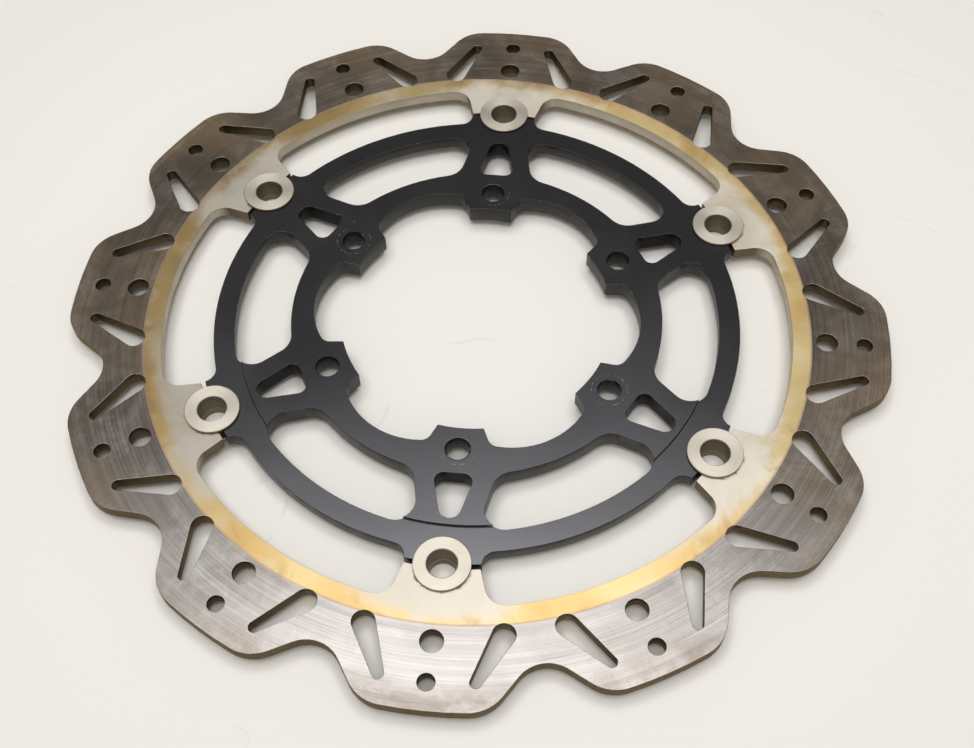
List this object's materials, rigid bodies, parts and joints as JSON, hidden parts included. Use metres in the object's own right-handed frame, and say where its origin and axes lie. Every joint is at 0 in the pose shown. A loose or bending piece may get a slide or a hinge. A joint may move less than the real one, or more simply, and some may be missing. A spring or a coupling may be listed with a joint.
{
  "type": "floating brake disc",
  "caption": "Floating motorcycle brake disc: a waved, drilled steel blade on a spoked aluminium carrier, joined by square-drive buttons with washers and retaining rings.",
  "frame": {"origin": "centre of the hub mounting face, on the disc's axis", "axes": "+Z along the disc's axis, outboard, away from the wheel; station 1 of the drive buttons lies on -Y"},
  "size_m": [0.31, 0.31, 0.0105],
  "materials": {
    "blade_steel": "used stainless friction steel, fine concentric scratches, heat-tinted inner ring",
    "carrier_alloy": "satin black anodised",
    "button_steel": "turned stainless, satin",
    "washer_steel": "flat ground",
    "spring_steel": "tempered spring strip",
    "ring_steel": "phosphated, dark"
  },
  "bodies": {
    "carrier": {"carrier": "carrier_alloy", "drive_button_1": "button_steel", "drive_button_2": "button_steel", "drive_button_3": "button_steel", "drive_button_4": "button_steel", "drive_button_5": "button_steel", "drive_button_6": "button_steel", "thrust_washer_1": "washer_steel", "thrust_washer_2": "washer_steel", "thrust_washer_3": "washer_steel", "thrust_washer_4": "washer_steel", "thrust_washer_5": "washer_steel", "thrust_washer_6": "washer_steel", "wave_washer_1": "spring_steel", "wave_washer_2": "spring_steel", "wave_washer_3": "spring_steel", "wave_washer_4": "spring_steel", "wave_washer_5": "spring_steel", "wave_washer_6": "spring_steel", "retaining_ring_1": "ring_steel", "retaining_ring_2": "ring_steel", "retaining_ring_3": "ring_steel", "retaining_ring_4": "ring_steel", "retaining_ring_5": "ring_steel", "retaining_ring_6": "ring_steel"},
    "blade": {"brake_blade": "blade_steel"}
  },
  "joints": [
    {"name": "blade_float", "type": "slide", "parent": "carrier", "child": "blade", "axis": [0, 0, 1], "range_m": [-0.00015, 0.00015]}
  ]
}
